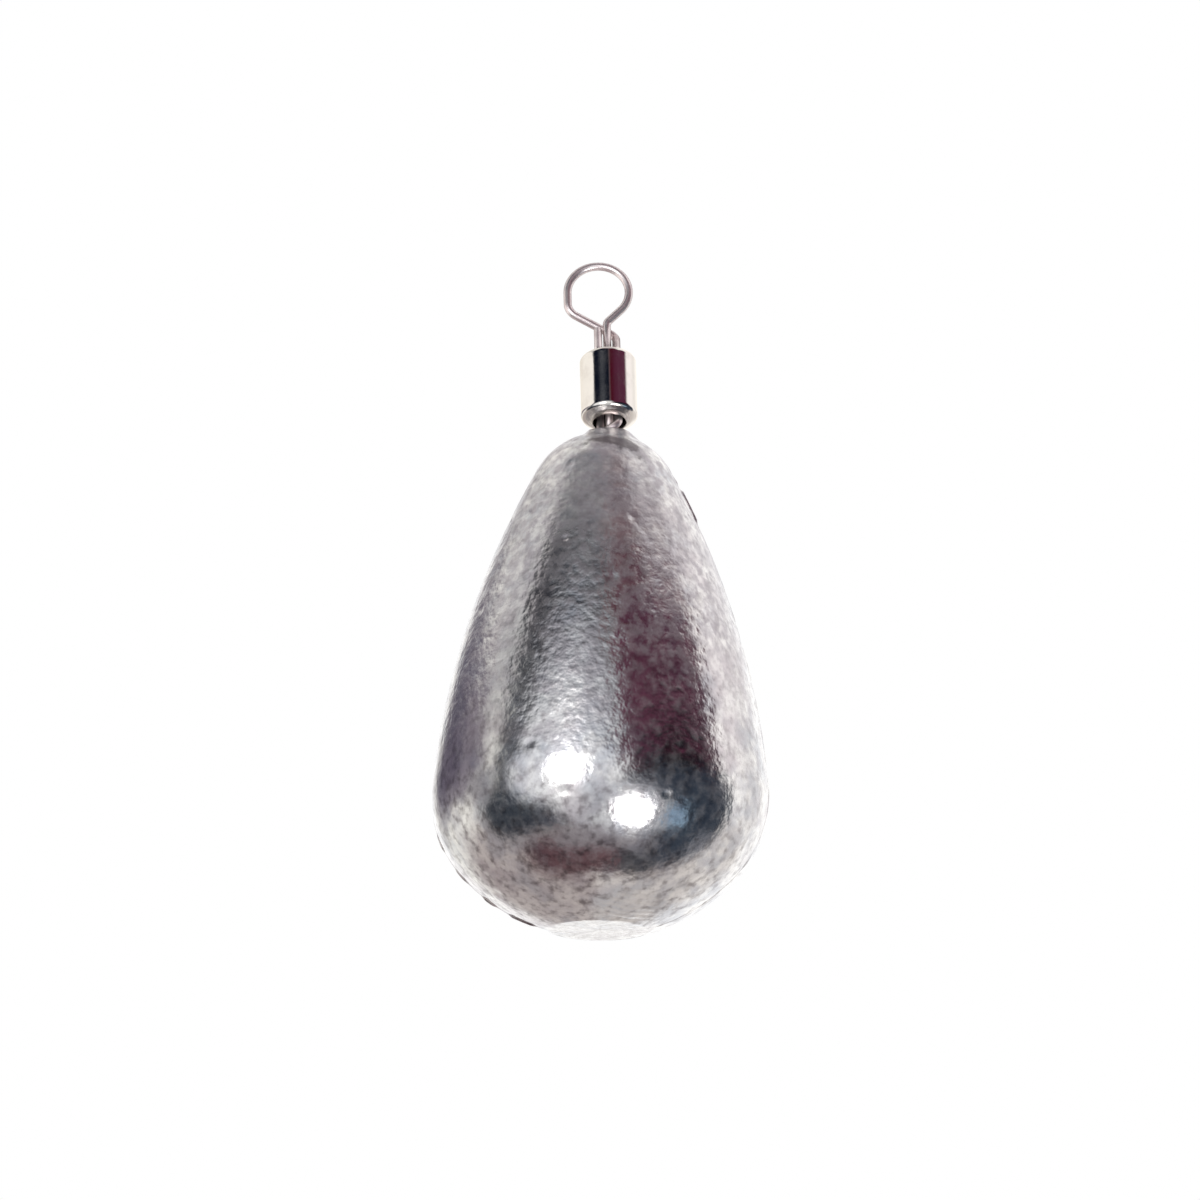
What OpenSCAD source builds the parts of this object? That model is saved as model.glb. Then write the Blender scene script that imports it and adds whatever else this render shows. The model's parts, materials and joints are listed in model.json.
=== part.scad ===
// Cast lead fishing sinker of the pear or bell form, with a barrel swivel in its crown.
// Millimetres. The sinker stands on its flat at z = 0, with its axis up along Z.
// The front, from which both wire eyes show their round, looks towards -Y.

/* [Cast body] */
// Widest diameter of the body
body_d = 22; // [19:0.5:26]
// Height of the body from its flat to its crown
body_h = 33.1; // [29:0.1:40]
// Diameter of the flat left where the casting gate was cut off
flat_d = 6.5; // [4:0.5:9]
// Distance of the belly arc's middle from the body's axis
belly_inset = 2.9; // [2:0.1:4]
// How much larger the base arc's radius is than half the widest diameter
base_swell = 1; // [0.5:0.1:2]
// Radius of the long arc of the flank
flank_r = 55; // [40:1:90]
// Radius of the rounded crown
crown_r = 5; // [4:0.1:6]

/* [Mould marks] */
// Thickness of the ridge that the joint of the mould leaves
seam_w = 0.3; // [0.2:0.05:0.5]
// Height of that ridge over the surface
seam_h = 0.12; // [0.06:0.01:0.2]
// Turn of the mould's joint about the body's axis, in degrees
seam_turn = 5; // [0:1:30]
// Diameter of the low collar round the wire, at its top
collar_d = 2.6; // [2.2:0.1:3.2]
// Height of the collar over the crown
collar_h = 0.1; // [0.05:0.05:0.15]
// How much wider the collar is all round where it runs out into the crown
collar_flare = 0.8; // [0.5:0.1:1.2]

/* [Swivel barrel] */
// Outer diameter of the barrel
barrel_d = 3.7; // [3.4:0.1:4.4]
// Length of the barrel
barrel_l = 5.2; // [4.6:0.1:6.6]
// Wall of the barrel
barrel_wall = 0.35; // [0.25:0.05:0.4]
// Length of each end that is turned in over the head of an eye
lip_l = 0.45; // [0.35:0.05:0.55]
// Radius of the edge between the barrel's side and its turned-in end
lip_edge_r = 0.35; // [0.15:0.05:0.45]

/* [Wire eyes] */
// Diameter of the wire
wire_d = 0.53; // [0.45:0.01:0.6]
// Radius of an eye to the middle of its wire
loop_r = 2; // [1.7:0.05:2.6]
// Distance of an eye's middle to the left of its stem
loop_offset = 0.5; // [0.3:0.05:0.7]
// Lean of the wire where it leaves the stem for the eye, in degrees
rise_lean = 45; // [38:1:52]
// Slope of the wire where it comes back to the stem, in degrees
return_slope = 27; // [20:1:32]
// Depth under the stem's bend at which the wire comes back behind the stem
cross_drop = 0.36; // [0.3:0.02:0.5]
// Radius of the bend at the top of the stem
stem_bend_r = 0.5; // [0.35:0.05:0.7]
// Radius of the bend at the eye's lower left
corner_bend_r = 0.95; // [0.5:0.05:1.3]
// Radius of the bend where the free end turns down behind the stem
behind_bend_r = 0.65; // [0.4:0.05:0.75]
// Radius of the bends where the free end passes in front of the stem
hook_bend_r = 0.4; // [0.32:0.02:0.46]
// Length of the stem between the line eye's bend and the barrel
line_neck = 2.5; // [2.2:0.05:3]
// Depth in the barrel's mouth at which the free end passes in front of the stem
hook_sink = 0.1; // [0.05:0.05:0.15]
// How much lower than the crossing the free end is cut off
tail_drop = 0.17; // [0.1:0.01:0.3]
// Thickness of the head on the stem's end inside the barrel
head_t = 0.5; // [0.35:0.05:0.7]

/* [Seat of the swivel] */
// Distance of the swivel's foot to the right of the body's axis
seat_x = 0.35; // [0:0.05:0.7]
// Height of the barrel's lower end over the crown
barrel_lift = 0.62; // [0.56:0.02:0.8]
// Depth of the cast-in eye's bend under the barrel's lower end
anchor_neck = 1.1; // [1:0.05:1.4]
// Lean of the swivel to the back, in degrees
lean_back = 18.5; // [10:0.5:22]
// Lean of the swivel to the left, in degrees
lean_left = 2; // [0:0.5:6]

/* [Clearances] */
// Gap all round between an eye's head and the barrel's bore
head_gap = 0.06; // [0.03:0.01:0.1]
// Gap along the stem between the line eye's head and the turned-in end
end_gap = 0.05; // [0.02:0.01:0.1]
// Gap all round between the wound wire and the barrel's mouth
mouth_gap = 0.15; // [0.1:0.01:0.2]
// Gap between the stem and the free end wound round it
wound_gap = 0.06; // [0.04:0.01:0.08]

/* [Hidden] */
$fn = 96;

// How much a bead stands proud of the wire where a straight stretch meets a bend
bead_proud = 0.01;

// How much the belly's and the crown's arcs stand proud of the larger arcs that run into them
arc_proud = 0.005;

// Radii of the base and belly arcs, and the middles of all four arcs of the outline
base_r = body_d / 2 + base_swell;
belly_r = body_d / 2 - belly_inset;
base_to_belly = base_r - belly_r + arc_proud;
base_c = [0, sqrt(pow(base_r, 2) - pow(flat_d / 2, 2))];
belly_turn = asin(belly_inset / base_to_belly);
belly_c = base_c + base_to_belly * outward(belly_turn);
crown_c = [0, body_h - crown_r];

// The flank's arc runs from the belly's to the crown's
belly_to_crown = crown_c - belly_c;
crown_far = norm(belly_to_crown);
flank_to_belly = flank_r - belly_r + arc_proud;
flank_to_crown = flank_r - crown_r + arc_proud;
flank_along = (pow(flank_to_belly, 2) - pow(flank_to_crown, 2) + pow(crown_far, 2)) / (2 * crown_far);
flank_aside = sqrt(pow(flank_to_belly, 2) - pow(flank_along, 2));
up_flank = belly_to_crown / crown_far;
flank_c = belly_c + flank_along * up_flank + flank_aside * [-up_flank.y, up_flank.x];
flank_turn = turn_of(belly_c - flank_c);
crown_turn = turn_of(crown_c - flank_c);

// Sizes of the swivel that follow from the wire and the barrel
wound_r = wire_d + wound_gap;
wound_reach = wound_r * sqrt(2) - hook_bend_r * (sqrt(2) - 1) + wire_d / 2;
mouth_r = wound_reach + mouth_gap;
bore_r = barrel_d / 2 - barrel_wall;
head_r = bore_r - head_gap;
lip_lean = atan2(barrel_d / 2 - mouth_r, lip_l);
lip_edge_c = [barrel_d / 2 - lip_edge_r, lip_l + lip_edge_r * tan(lip_lean / 2)];
lip_side_at = lip_edge_c + [lip_edge_r, 0];
lip_cone_at = lip_edge_c + lip_edge_r * outward(90 - lip_lean);
stem_l = line_neck + lip_l + end_gap + head_t;

// Corners of the wire, from the bend at the top of its stem
loop_reach = loop_r + loop_offset;
loop_c = [-loop_offset, 0, (loop_r - loop_offset * cos(rise_lean)) / sin(rise_lean)];
loop_start = loop_c + loop_r * [cos(rise_lean), 0, -sin(rise_lean)];
loop_end = loop_c - [loop_r, 0, 0];
return_fall = tan(return_slope);
corner = [loop_end.x, 0, loop_reach * return_fall - cross_drop];
behind = [wound_r, wound_r * (loop_reach + wound_r) / loop_reach, -cross_drop - wound_r * return_fall];
hook_z = -line_neck - hook_sink;
hook_right = [wound_r, -wound_r, hook_z];
hook_left = [-wound_r, -wound_r, hook_z];
tail_end = [-wound_r, 0, -cross_drop - tail_drop];

// Direction out of the outline where it has turned by an angle from straight down
function outward(turn) = [sin(turn), -cos(turn)];

// Angle from straight down at which a direction points
function turn_of(v) = atan2(v.x, -v.y);

function unit(v) = v / norm(v);

// Part of a disc that lies beyond its chord between two of its points
module round_stretch(middle, radius, turn_from, turn_to) {
    from = middle + radius * outward(turn_from);
    to = middle + radius * outward(turn_to);
    out = radius * outward((turn_from + turn_to) / 2);
    intersection() {
        translate(middle)
            circle(r = radius);
        polygon([from, to, to + out, from + out]);
    }
}

function mirrored(at) = [-at.x, at.y];

// Disc of which only the stretch inside a polygon is kept
module arc_stretch(middle, radius, within) {
    intersection() {
        translate(middle)
            circle(r = radius);
        polygon(within);
    }
}

// The body's outline, grown outwards by an amount and cut off level at the base
module outline(grow = 0) {
    base_ray = base_c + 2 * base_r * outward(belly_turn);
    flank_ray = belly_c + 2 * belly_r * outward(flank_turn);
    crown_ray = crown_c + 2 * crown_r * outward(crown_turn);
    core = [belly_c + belly_r / 2 * outward(flank_turn), crown_c + crown_r / 2 * outward(crown_turn)];
    intersection() {
        union() {
            arc_stretch(base_c, base_r + grow, [base_c, base_ray, [0, -body_d], mirrored(base_ray)]);
            polygon([core[0], core[1], mirrored(core[1]), mirrored(core[0])]);
            for (side = [0, 1])
                mirror([side, 0]) {
                    translate(belly_c)
                        circle(r = belly_r + grow);
                    arc_stretch(flank_c, flank_r + grow, [belly_c, flank_ray, crown_ray, crown_c]);
                }
            translate(crown_c)
                circle(r = crown_r + grow);
        }
        translate([-body_d, 0])
            square([2 * body_d, 2 * body_h]);
    }
}

// Round body, before its ridge and collar
module round_body() {
    rotate_extrude()
        intersection() {
            outline();
            square([body_d, 2 * body_h]);
        }
}

// Thin ridge along the joint of the mould, as a plate through the whole body
module seam_plate() {
    rotate([0, 0, -seam_turn])
        rotate([90, 0, 0])
            linear_extrude(height = seam_w, center = true)
                outline(seam_h);
}

// Low collar of lead round the wire
module collar() {
    foot_z = crown_c.y + sqrt(pow(crown_r, 2) - pow(collar_d / 2 + collar_flare + seat_x, 2));
    translate([seat_x, 0, foot_z])
        cylinder(r1 = collar_d / 2 + collar_flare, r2 = collar_d / 2, h = body_h + collar_h - foot_z);
}

// Turns what is drawn along Z so that it points along a direction
module along(direction) {
    rotate([0, acos(direction.z / norm(direction)), atan2(direction.y, direction.x)])
        children();
}

module straight_wire(from, to) {
    translate(from)
        along(to - from)
            cylinder(d = wire_d, h = norm(to - from));
}

module bead(at) {
    translate(at)
        sphere(d = wire_d + 2 * bead_proud);
}

// Length that a bend takes from each of the two straight stretches it joins
function bend_take(before, at, after, radius) =
    radius * tan(acos(unit(at - before) * unit(after - at)) / 2);

// Bend of the wire at a corner, from one straight stretch to the next
module bend(before, at, after, radius) {
    way_in = unit(at - before);
    way_out = unit(after - at);
    take = bend_take(before, at, after, radius);
    axis = unit(cross(way_in, way_out));
    inward = cross(axis, way_in);
    start = at - take * way_in;
    middle = start + radius * inward;
    multmatrix([
        [-inward.x, way_in.x, axis.x, middle.x],
        [-inward.y, way_in.y, axis.y, middle.y],
        [-inward.z, way_in.z, axis.z, middle.z],
        [0, 0, 0, 1]
    ])
        rotate_extrude(angle = acos(way_in * way_out))
            translate([radius, 0])
                circle(d = wire_d);
    bead(start);
    bead(at + take * way_out);
}

// Wire through a list of corners, each with its bend
module bent_wire(corners, radii) {
    last = len(corners) - 1;
    takes = [for (i = [0:last]) i == 0 || i == last ? 0
        : bend_take(corners[i - 1], corners[i], corners[i + 1], radii[i - 1])];
    for (i = [1:last]) {
        way = unit(corners[i] - corners[i - 1]);
        straight_wire(corners[i - 1] + takes[i - 1] * way, corners[i] - takes[i] * way);
    }
    for (i = [1:last - 1])
        bend(corners[i - 1], corners[i], corners[i + 1], radii[i - 1]);
}

// One eye: a headed stem, the round, and the free end hooked round the stem
module wire_eye() {
    translate([0, 0, -stem_l])
        cylinder(r = head_r, h = head_t);
    bent_wire([[0, 0, -stem_l], [0, 0, 0], loop_start], [stem_bend_r]);
    bead(loop_start);
    translate(loop_c)
        rotate([90, 0, 0])
            rotate([0, 0, -rise_lean])
                rotate_extrude(angle = 180 + rise_lean)
                    translate([loop_r, 0])
                        circle(d = wire_d);
    bead(loop_end);
    bent_wire([loop_end, corner, behind, hook_right, hook_left, tail_end],
        [corner_bend_r, behind_bend_r, hook_bend_r, hook_bend_r]);
}

// Places what is drawn from the barrel's lower end up onto the leaning swivel
module on_swivel() {
    translate([seat_x, 0, body_h + barrel_lift])
        rotate([-lean_back, -lean_left, 0])
            children();
}

// Cast-in eye, upside down, before it is coloured
module anchor_wire() {
    on_swivel()
        translate([0, 0, -anchor_neck])
            rotate([180, 0, 0])
                wire_eye();
}

module sinker_body() {
    color("#a9abb0")
        difference() {
            union() {
                round_body();
                seam_plate();
                collar();
            }
            anchor_wire();
        }
}

module anchor_eye() {
    color("#c9c4c2")
        anchor_wire();
}

// Half of the barrel's section: its side, and both ends turned in over the heads
module barrel_outline() {
    upper = [0, barrel_l];
    flip = [[1, 0], [0, -1]];
    polygon([
        [mouth_r, 0], lip_cone_at, lip_side_at,
        upper + flip * lip_side_at, upper + flip * lip_cone_at, [mouth_r, barrel_l],
        [mouth_r, barrel_l - lip_l], [bore_r, barrel_l - lip_l], [bore_r, lip_l], [mouth_r, lip_l]
    ]);
    round_stretch(lip_edge_c, lip_edge_r, 90 - lip_lean, 90);
    round_stretch(upper + flip * lip_edge_c, lip_edge_r, 90, 90 + lip_lean);
}

module swivel_barrel() {
    color("#d8d3cd")
        on_swivel()
            rotate_extrude()
                barrel_outline();
}

module line_eye() {
    color("#d6c9c8")
        on_swivel()
            translate([0, 0, barrel_l + line_neck])
                wire_eye();
}

sinker_body();
anchor_eye();
swivel_barrel();
line_eye();
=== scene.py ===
import json
import math

import bpy
import numpy as np
from mathutils import Matrix, Vector, noise


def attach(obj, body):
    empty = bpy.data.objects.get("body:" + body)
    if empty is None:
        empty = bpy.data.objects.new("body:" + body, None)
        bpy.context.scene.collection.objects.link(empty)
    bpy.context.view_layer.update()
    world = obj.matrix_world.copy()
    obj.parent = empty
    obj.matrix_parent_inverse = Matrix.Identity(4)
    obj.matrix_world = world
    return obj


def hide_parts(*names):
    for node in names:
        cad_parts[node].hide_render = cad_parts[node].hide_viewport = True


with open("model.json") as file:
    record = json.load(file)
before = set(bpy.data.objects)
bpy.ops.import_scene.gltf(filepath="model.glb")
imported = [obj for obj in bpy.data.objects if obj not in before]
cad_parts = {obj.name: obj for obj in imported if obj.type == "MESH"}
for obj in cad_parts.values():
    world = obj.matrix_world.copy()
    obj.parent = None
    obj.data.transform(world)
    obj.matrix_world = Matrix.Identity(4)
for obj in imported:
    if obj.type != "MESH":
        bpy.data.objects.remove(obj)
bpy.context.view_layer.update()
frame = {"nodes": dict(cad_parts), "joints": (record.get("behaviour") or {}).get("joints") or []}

MM = 0.001

# Sizes of the casting, in millimetres and degrees. Its outline is four arcs, from the flat up to the crown
BODY_D = 22.0
BODY_H = 33.1
FLAT_D = 6.5
BELLY_INSET = 2.9
BASE_SWELL = 1.0
FLANK_R = 55.0
CROWN_R = 5.0
SEAM_TURN = 5.0
SEAM_W = 0.3
SEAM_H = 0.12
COLLAR_D = 2.6
COLLAR_H = 0.1
COLLAR_FLARE = 0.8

# Unevenness of the casting, in millimetres: width, depth low down, what is added high up, and noise seed
WAVES = (
    (6.5, 0.05, 0.0, 1),
    (1.7, 0.012, 0.014, 2),
    (0.75, 0.003, 0.012, 3),
)

# Blow holes and dents: how many, their seed, radius in millimetres, and depth as a share of the radius
HOLES = 170
HOLE_SEED = 11
HOLE_R = (0.22, 0.5)
HOLE_DEPTH = (0.06, 0.16)

# Single pits: degrees to the right of the front, then height, radius and depth in millimetres
PITS = ((-12, 6.9, 0.42, 0.05), (24, 6.9, 0.3, 0.06), (-25, 10.3, 0.45, 0.05))

# Hollow that the file left beside the cut gate, and the fillet at the collar's foot, in millimetres
FILED_AT = (1.9, -4.1)
FILED_R = 2.6
FILED_DEPTH = 0.03
FILLET = 0.05
FILLET_SINK = 0.02

# Sizes of the swivel, in millimetres and degrees
BARREL_D = 3.7
BARREL_WALL = 0.35
LIP_L = 0.45
LIP_EDGE_R = 0.35
MOUTH_EDGE_R = 0.05
WIRE_D = 0.53
LOOP_R = 2.0
LOOP_OFFSET = 0.5
RISE_LEAN = 45.0
RETURN_SLOPE = 27.0
CROSS_DROP = 0.36
STEM_BEND_R = 0.5
CORNER_BEND_R = 0.95
BEHIND_BEND_R = 0.65
HOOK_BEND_R = 0.4
LINE_NECK = 2.5
HOOK_SINK = 0.1
TAIL_DROP = 0.17
HEAD_T = 0.5
ANCHOR_NECK = 1.1
HEAD_GAP = 0.06
END_GAP = 0.05
MOUTH_GAP = 0.15
WOUND_GAP = 0.06

# The swept wire is a hair thinner than its solid, and its head has a small chamfer, in millimetres
WIRE_TRIM = 0.004
HEAD_CHAMFER = 0.02
HEAD_CHAMFER_SHARE = 0.94

# How fine the meshes are, in millimetres, degrees or points
ALONG_STEP = 0.15
FLAT_STEP = 0.25
SEAM_FINE = 4.0
SEAM_FINE_STEP = 0.25
ROUND_STEP = 1.25
WIRE_SIDES = 40
WIRE_STEP = 4.0
BARREL_SIDES = 192
MOUTH_POINTS = 5
RIM_POINTS = 6
SHOULDER_POINTS = 14
SIDE_POINTS = 8
SIDE_INSET = 0.4
RIM_SHORT = 30
EDGE_SUPPORT = 0.04


def outward(turn):
    """Direction out of the outline where it has turned by an angle from straight down."""
    return np.array([math.sin(turn), -math.cos(turn)])


def turn_of(way):
    """The angle from straight down of a direction out of the outline."""
    return math.atan2(way[0], -way[1])


def smoothstep(low, high, x):
    """Smooth rise from 0 to 1 between two limits, or the fall from 1 to 0 where the first is the higher."""
    t = np.clip((x - low) / (high - low), 0, 1)
    return t * t * (3 - 2 * t)


def ring_faces(rings, sides, closed=False):
    """Faces between rings of points, and from the last ring to the first where the section is closed."""
    faces = []
    for i in range(rings if closed else rings - 1):
        low, high = sides * i, sides * ((i + 1) % rings)
        faces += [(low + j, low + (j + 1) % sides, high + (j + 1) % sides, high + j) for j in range(sides)]
    return faces


def mark_points(mesh, name, values):
    """Keeps a number for each point of a mesh, which its material or node tree reads."""
    marks = mesh.attributes.new(name, "FLOAT", "POINT")
    marks.data.foreach_set("value", np.asarray(values, dtype=np.float32))


def mesh_piece(name, verts, faces, material, body, replaced):
    """A smooth piece of the object, from points in metres, in place of one CAD node."""
    mesh = bpy.data.meshes.new(name)
    mesh.from_pydata([tuple(v) for v in verts], [], faces)
    return finish_piece(name, mesh, material, body, replaced)


def finish_piece(name, mesh, material, body, replaced):
    """Shades a mesh smooth, gives it its material, and ties the piece to its body."""
    mesh.validate()
    mesh.shade_smooth()
    mesh.materials.clear()
    mesh.materials.append(material)
    piece = bpy.data.objects.new(name, mesh)
    bpy.context.scene.collection.objects.link(piece)
    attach(piece, body)
    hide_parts(replaced)
    return piece


# Node helpers

def linear(code):
    """The linear colour of an sRGB hex code."""
    parts = [int(code[i:i + 2], 16) / 255 for i in (1, 3, 5)]
    return tuple(c / 12.92 if c <= 0.04045 else ((c + 0.055) / 1.055) ** 2.4 for c in parts) + (1.0,)


def add(tree, kind, inputs=None, **settings):
    """Adds a node with its settings. An input is a value, a socket, or a node, for its first output."""
    node = tree.nodes.new(kind)
    for name, value in settings.items():
        setattr(node, name, value)
    for key, value in (inputs or {}).items():
        if isinstance(value, bpy.types.Node):
            value = next(output for output in value.outputs if output.enabled)
        if isinstance(value, bpy.types.NodeSocket):
            tree.links.new(value, node.inputs[key])
        else:
            node.inputs[key].default_value = value
    return node


def grain(at, mm, detail=3.0):
    """Inputs of a noise texture whose features are this many millimetres wide."""
    return {"Vector": at, "Scale": 1 / (mm * MM), "Detail": detail, "Roughness": 0.55}


def span(value, low, high, to_low=0.0, to_high=1.0):
    """Inputs of a map range, which goes from one number to another between two limits of a value."""
    return {"Value": value, "From Min": low, "From Max": high, "To Min": to_low, "To Max": to_high}


def new_material(name):
    """A new material and its node tree, which is still empty."""
    material = bpy.data.materials.new(name)
    material.use_nodes = True
    tree = material.node_tree
    tree.nodes.clear()
    return material, tree


# Materials

# Widths of what shows on the lead, and the depth of its bump, in millimetres
PATCH_W = 6.0
CLOUD_W = 1.6
BLOTCH_W = 0.65
SPECK_W = 0.6
GRIT_W = 0.35
LEAD_BUMP = 0.06

# Middle and half size of the crescent of painted shade on the crown, seen from above, in millimetres
PAINTED_SHADE_AT = (0.98, -3.06)
PAINTED_SHADE_HALF = (1.96, 0.606)

# File strokes: the way across them, and from one to the next in millimetres
STROKE_ACROSS = (0.47, -0.88, 0.0)
STROKE_GAP = 0.5

# Widths of what shows on the nickel and the paper, and the depth of the nickel's bump, in millimetres
SMEAR_W = 1.3
MARK_W = 0.12
NICKEL_BUMP = 0.003
FIBRE_W = 1.2


def uneven_height(tree, at, patches):
    """Height on the body in metres, more on the right and in patches, so that no change runs level."""
    place = add(tree, "ShaderNodeSeparateXYZ", {"Vector": at}).outputs
    patchy = add(tree, "ShaderNodeMath", {0: patches, 1: 14 * MM, 2: place["Z"]}, operation="MULTIPLY_ADD")
    return add(tree, "ShaderNodeMath", {0: place["X"], 1: 0.3, 2: patchy}, operation="MULTIPLY_ADD")


def oxide_film(tree, blotches, clouds, height):
    """Share of the grey film, in blotches that are wider in some places, and more of it high up."""
    cloudy = add(tree, "ShaderNodeMath", {0: clouds, 1: 0.25}, operation="MULTIPLY")
    uneven = add(tree, "ShaderNodeMath", {0: blotches, 1: 0.75, 2: cloudy}, operation="MULTIPLY_ADD")
    cover = add(tree, "ShaderNodeMapRange", span(uneven, 0.34, 0.75), interpolation_type="SMOOTHSTEP")
    high_up = add(tree, "ShaderNodeMapRange", span(height, 18 * MM, 31 * MM, 0.5, 1.45),
                  interpolation_type="SMOOTHSTEP")
    return add(tree, "ShaderNodeMath", {0: cover, 1: high_up}, operation="MULTIPLY")


def filmed_colour(tree, patches, clouds, film):
    """Bright lead, duller in clouds and cooler in patches, under its grey film."""
    cool = add(tree, "ShaderNodeMapRange", span(patches, 0.42, 0.6), interpolation_type="SMOOTHSTEP")
    dull = add(tree, "ShaderNodeMapRange", span(clouds, 0.35, 0.65), interpolation_type="SMOOTHSTEP")
    dulled = add(tree, "ShaderNodeMix", {"Factor": cool, "A": linear("#D8D2D3"), "B": linear("#CFD1D5")},
                 data_type="RGBA")
    bare = add(tree, "ShaderNodeMix", {"Factor": dull, "A": linear("#F4F2EF"), "B": dulled},
               data_type="RGBA")
    return add(tree, "ShaderNodeMix", {"Factor": film, "A": bare, "B": linear("#BEB9BC")}, data_type="RGBA")


def dark_specks(tree, at, height, colour):
    """Dark specks, most of them low down."""
    dots = add(tree, "ShaderNodeTexNoise", grain(at, SPECK_W, 2.0))
    deep = add(tree, "ShaderNodeMapRange", span(dots, 0.4, 0.8, 0.0, 0.8), interpolation_type="SMOOTHSTEP")
    low_down = add(tree, "ShaderNodeMapRange", span(height, 8 * MM, 22 * MM, 1.0, 0.4),
                   interpolation_type="SMOOTHSTEP")
    share = add(tree, "ShaderNodeMath", {0: deep, 1: low_down}, operation="MULTIPLY")
    return add(tree, "ShaderNodeMix", {"Factor": share, "A": colour, "B": linear("#6E6668")},
               data_type="RGBA")


def painted_barrel_shade(tree, at, blotches, colour):
    """Painted shade: a dark ragged crescent on the crown in front of the wire, where the barrel's dark
    underside is mirrored.
    """
    scale = (1 / (PAINTED_SHADE_HALF[0] * MM), 1 / (PAINTED_SHADE_HALF[1] * MM), 0.0)
    shift = (-PAINTED_SHADE_AT[0] / PAINTED_SHADE_HALF[0], -PAINTED_SHADE_AT[1] / PAINTED_SHADE_HALF[1], 0.0)
    off = add(tree, "ShaderNodeVectorMath", {0: at, 1: scale, 2: shift}, operation="MULTIPLY_ADD")
    far_off = add(tree, "ShaderNodeVectorMath", {0: off}, operation="LENGTH")
    ragged = add(tree, "ShaderNodeMath", {0: blotches, 1: 1.6, 2: far_off}, operation="MULTIPLY_ADD")
    inside = add(tree, "ShaderNodeMapRange", span(ragged, 1.4, 2.0, 0.8, 0.0),
                 interpolation_type="SMOOTHSTEP")
    height = add(tree, "ShaderNodeSeparateXYZ", {"Vector": at}).outputs["Z"]
    on_crown = add(tree, "ShaderNodeMapRange", span(height, 28 * MM, 30 * MM),
                   interpolation_type="SMOOTHSTEP")
    share = add(tree, "ShaderNodeMath", {0: inside, 1: on_crown}, operation="MULTIPLY")
    return add(tree, "ShaderNodeMix", {"Factor": share, "A": colour, "B": linear("#4E4348")},
               data_type="RGBA")


def file_strokes(tree, at, clouds):
    """Waves of the file's strokes, which wander a little."""
    across = add(tree, "ShaderNodeVectorMath", {0: at, 1: STROKE_ACROSS}, operation="DOT_PRODUCT")
    per_metre = 2 * math.pi / (STROKE_GAP * MM)
    turns = add(tree, "ShaderNodeMath", {0: across, 1: per_metre}, operation="MULTIPLY")
    phase = add(tree, "ShaderNodeMath", {0: clouds, 1: 9.0, 2: turns}, operation="MULTIPLY_ADD")
    return add(tree, "ShaderNodeMath", {0: phase}, operation="SINE")


def filed_colour(tree, scar, waves, blotches, colour):
    """Brighter lead where the file cut through the film, in streaks."""
    worn = add(tree, "ShaderNodeMapRange", span(blotches, 0.35, 0.65, 0.3, 0.7),
               interpolation_type="SMOOTHSTEP")
    streaked = add(tree, "ShaderNodeMath", {0: waves, 1: 0.2, 2: worn}, operation="MULTIPLY_ADD")
    share = add(tree, "ShaderNodeMath", {0: scar, 1: streaked}, operation="MULTIPLY")
    return add(tree, "ShaderNodeMix", {"Factor": share, "A": colour, "B": linear("#DEDBD8")},
               data_type="RGBA")


def lead_roughness(tree, upper, height):
    """Smooth low down, a little rougher on the upper half, and duller still near the crown."""
    half = add(tree, "ShaderNodeMapRange", span(upper, 0.0, 1.0, 0.16, 0.2), interpolation_type="SMOOTHSTEP")
    crown = add(tree, "ShaderNodeMapRange", span(height, 27 * MM, 36 * MM, 0.0, 0.16),
                interpolation_type="SMOOTHSTEP")
    return add(tree, "ShaderNodeMath", {0: half, 1: crown}, operation="ADD")


def lead_bump(tree, at, blotches, waves, scar, upper):
    """Blotches, grit and file strokes in the surface, deeper on the upper half and on the scar."""
    grit = add(tree, "ShaderNodeTexNoise", grain(at, GRIT_W, 0.0))
    fine = add(tree, "ShaderNodeMath", {0: grit, 1: 0.2}, operation="MULTIPLY")
    relief = add(tree, "ShaderNodeMath", {0: blotches, 1: 0.8, 2: fine}, operation="MULTIPLY_ADD")
    strokes = add(tree, "ShaderNodeMath", {0: waves, 1: scar}, operation="MULTIPLY")
    relief = add(tree, "ShaderNodeMath", {0: strokes, 1: 0.25, 2: relief}, operation="MULTIPLY_ADD")
    half = add(tree, "ShaderNodeMapRange", span(upper, 0.0, 1.0, 0.35, 1.0), interpolation_type="SMOOTHSTEP")
    depth = add(tree, "ShaderNodeMath", {0: scar, 1: 0.3, 2: half}, operation="MULTIPLY_ADD")
    height = add(tree, "ShaderNodeMath", {0: relief, 1: depth}, operation="MULTIPLY")
    return add(tree, "ShaderNodeBump", {"Height": height, "Distance": LEAD_BUMP * MM, "Strength": 1.0})


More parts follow.
